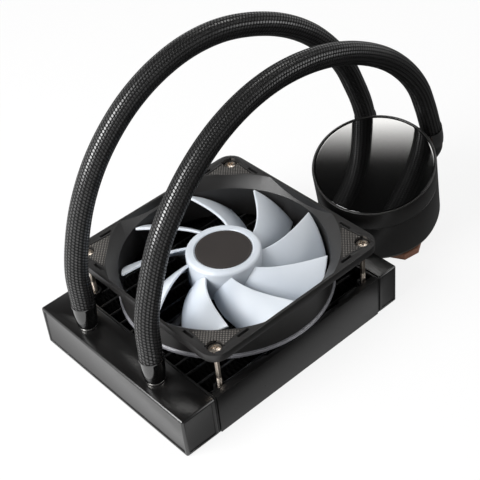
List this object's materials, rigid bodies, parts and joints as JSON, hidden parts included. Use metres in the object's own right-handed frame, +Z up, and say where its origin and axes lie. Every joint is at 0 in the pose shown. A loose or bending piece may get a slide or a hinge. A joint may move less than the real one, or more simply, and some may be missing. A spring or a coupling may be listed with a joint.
{
  "type": "all in one cpu liquid cooler",
  "caption": "Liquid cooler for a computer: flat black radiator with a 120 mm fan, braided hoses and a round glossy pump head.",
  "frame": {"origin": "under the middle of the footprint of the radiator and the pump head, at the height they stand on", "axes": "+X from the hose tank towards the pump head, +Y towards the radiator's back long side, +Z up along the fan's axis"},
  "size_m": [0.2446, 0.12, 0.167],
  "materials": {
    "radiator_paint": "satin",
    "core_paint": "satin",
    "fan_plastic": "fine texture",
    "rotor_plastic": "frosted",
    "label_film": "matt",
    "pad_rubber": "dimpled",
    "screw_nickel": "polished",
    "steel": "satin",
    "bearing_bronze": "satin",
    "motor_core": "matt",
    "magnet_iron": "matt",
    "circuit_board": "satin",
    "hose_braid": "braided",
    "sleeve_gloss": "gloss",
    "pump_satin": "satin",
    "lens_gloss": "mirror gloss",
    "impeller_plastic": "matt",
    "gasket_rubber": "matt",
    "plate_steel": "satin",
    "plate_copper": "ground"
  },
  "bodies": {
    "cooler_base": {"hose_tank": "radiator_paint", "return_tank": "radiator_paint", "tank_divider": "radiator_paint", "side_plate_front": "radiator_paint", "side_plate_back": "radiator_paint", "header_sheet_hose": "core_paint", "header_sheet_return": "core_paint", "core_row_01": "core_paint", "core_row_02": "core_paint", "core_row_03": "core_paint", "core_row_04": "core_paint", "core_row_05": "core_paint", "core_row_06": "core_paint", "core_row_07": "core_paint", "core_row_08": "core_paint", "core_row_09": "core_paint", "core_row_10": "core_paint", "core_row_11": "core_paint", "core_row_12": "core_paint", "fin_strip_last": "core_paint", "fan_frame": "fan_plastic", "fan_bearing": "bearing_bronze", "fan_stator": "motor_core", "fan_circuit_board": "circuit_board", "corner_pad_1": "pad_rubber", "fan_screw_1": "screw_nickel", "corner_pad_2": "pad_rubber", "fan_screw_2": "screw_nickel", "corner_pad_3": "pad_rubber", "fan_screw_3": "screw_nickel", "corner_pad_4": "pad_rubber", "fan_screw_4": "screw_nickel", "hose_neck_left": "steel", "tank_sleeve_left": "sleeve_gloss", "pump_sleeve_left": "sleeve_gloss", "pump_elbow_left": "sleeve_gloss", "hose_left": "hose_braid", "hose_neck_right": "steel", "tank_sleeve_right": "sleeve_gloss", "pump_sleeve_right": "sleeve_gloss", "pump_elbow_right": "sleeve_gloss", "hose_right": "hose_braid", "cold_plate": "plate_copper", "pump_base_plate": "plate_steel", "pump_gasket": "gasket_rubber", "pump_body": "pump_satin", "pump_cap": "pump_satin", "pump_lens": "lens_gloss", "pump_light_board": "circuit_board", "pump_stator": "motor_core"},
    "fan_wheel": {"fan_rotor": "rotor_plastic", "hub_label": "label_film", "fan_shaft": "steel", "fan_magnet_ring": "magnet_iron"},
    "impeller": {"pump_impeller": "impeller_plastic", "pump_impeller_pin": "steel"}
  },
  "joints": [
    {"name": "fan_spin", "type": "hinge", "parent": "cooler_base", "child": "fan_wheel", "pos_m": [-0.03865, 0, 0.0263], "axis": [0, 0, 1], "continuous": true},
    {"name": "impeller_spin", "type": "hinge", "parent": "cooler_base", "child": "impeller", "pos_m": [0.075, -0.0098, 0.0079], "axis": [-0.2501, -0.1302, 0.9594], "continuous": true}
  ]
}
